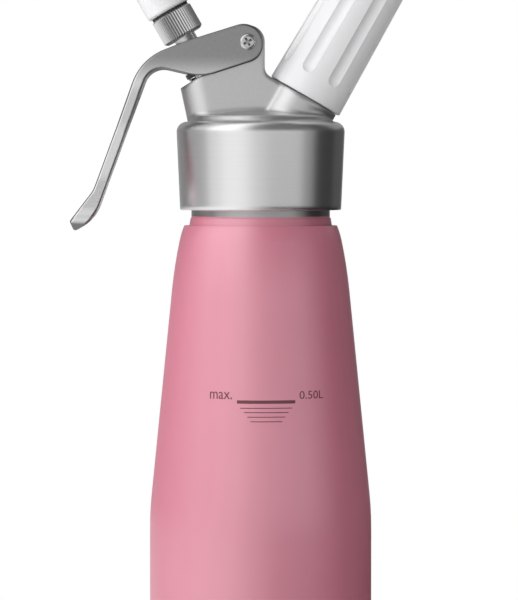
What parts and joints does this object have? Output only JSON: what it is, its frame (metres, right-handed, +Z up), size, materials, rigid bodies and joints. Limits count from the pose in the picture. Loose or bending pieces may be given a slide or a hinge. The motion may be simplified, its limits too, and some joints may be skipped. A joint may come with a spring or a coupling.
{
  "type": "whipped cream dispenser",
  "caption": "Pressurised bottle with a screwed-on metal head, a squeeze lever that opens a leaning outlet nozzle, and a fluted gas charger holder.",
  "frame": {"origin": "on the bottle's axis, in the plane that the bottle stands on", "axes": "+Z up along the bottle's axis; the nozzle and lever lie towards -X and the charger holder towards +X"},
  "size_m": [0.1298, 0.08, 0.3036],
  "materials": {
    "lacquer": "satin",
    "head_metal": "satin, fine turned brushing",
    "lever_metal": "polished satin",
    "adapter_metal": "satin, knurled",
    "steel": "satin",
    "charger_steel": "satin",
    "white_plastic": "gloss",
    "dark_plastic": "matt",
    "guide_plastic": "matt",
    "black_rubber": "matt",
    "clear_rubber": "matt",
    "brass": "satin"
  },
  "bodies": {
    "bottle": {"bottle": "lacquer"},
    "head_seal": {"head_gasket": "clear_rubber"},
    "head": {"head": "head_metal", "valve_guide": "guide_plastic", "stem_o_ring": "black_rubber", "valve_spring": "steel", "piercing_pin": "steel", "pin_holder": "brass", "charger_seal": "black_rubber", "check_valve_rubber": "black_rubber", "check_valve_cap": "steel"},
    "lever": {"lever": "lever_metal", "pivot_barrel": "steel", "pivot_screw": "steel"},
    "valve": {"valve_stem": "steel", "spring_cap": "dark_plastic", "poppet_seal": "black_rubber", "valve_poppet": "steel", "nozzle_adapter": "adapter_metal", "adapter_seal": "clear_rubber"},
    "nozzle_ring": {"nozzle_seal": "black_rubber"},
    "nozzle": {"nozzle": "white_plastic"},
    "charger": {"gas_charger": "charger_steel"},
    "charger_holder": {"charger_holder": "white_plastic", "charger_holder_insert": "adapter_metal"}
  },
  "joints": [
    {"name": "head_lift", "type": "slide", "parent": "bottle", "child": "head_seal", "axis": [0, 0, 1], "range_m": [0, 0.0161]},
    {"name": "head_turn", "type": "hinge", "parent": "head_seal", "child": "head", "pos_m": [0, 0, 0.209], "axis": [0, 0, 1], "range_deg": [0, 1440]},
    {"name": "lever_squeeze", "type": "hinge", "parent": "head", "child": "lever", "pos_m": [-0.00463, 0, 0.25115], "axis": [0, -1, 0], "range_deg": [0, 8], "stiffness_Nm_per_rad": 0.65, "springref_deg": -9.17},
    {"name": "valve_stroke", "type": "slide", "parent": "head", "child": "valve", "axis": [0.5, 0, -0.866], "range_m": [0, 0.0026], "stiffness_N_per_m": 60, "springref_m": -0.003, "deforming": ["valve_spring"]},
    {"name": "nozzle_lift", "type": "slide", "parent": "valve", "child": "nozzle_ring", "axis": [-0.5, 0, 0.866], "range_m": [0, 0.00605]},
    {"name": "nozzle_turn", "type": "hinge", "parent": "nozzle_ring", "child": "nozzle", "pos_m": [-0.0333, 0, 0.26361], "axis": [-0.5, 0, 0.866], "range_deg": [0, 1440]},
    {"name": "charger_lift", "type": "slide", "parent": "head", "child": "charger", "axis": [0.5, 0, 0.866], "range_m": [0, 0.01005]},
    {"name": "holder_turn", "type": "hinge", "parent": "charger", "child": "charger_holder", "pos_m": [0.01594, 0, 0.232], "axis": [0.5, 0, 0.866], "range_deg": [0, 1440]}
  ],
  "couplings": [
    {"joint": "valve_stroke", "follows": "lever_squeeze", "m_per_rad": 0.0185},
    {"joint": "head_lift", "follows": "head_turn", "m_per_rad": 0.00063662},
    {"joint": "nozzle_lift", "follows": "nozzle_turn", "m_per_rad": 0.00023873},
    {"joint": "charger_lift", "follows": "holder_turn", "m_per_rad": 0.00039789}
  ]
}
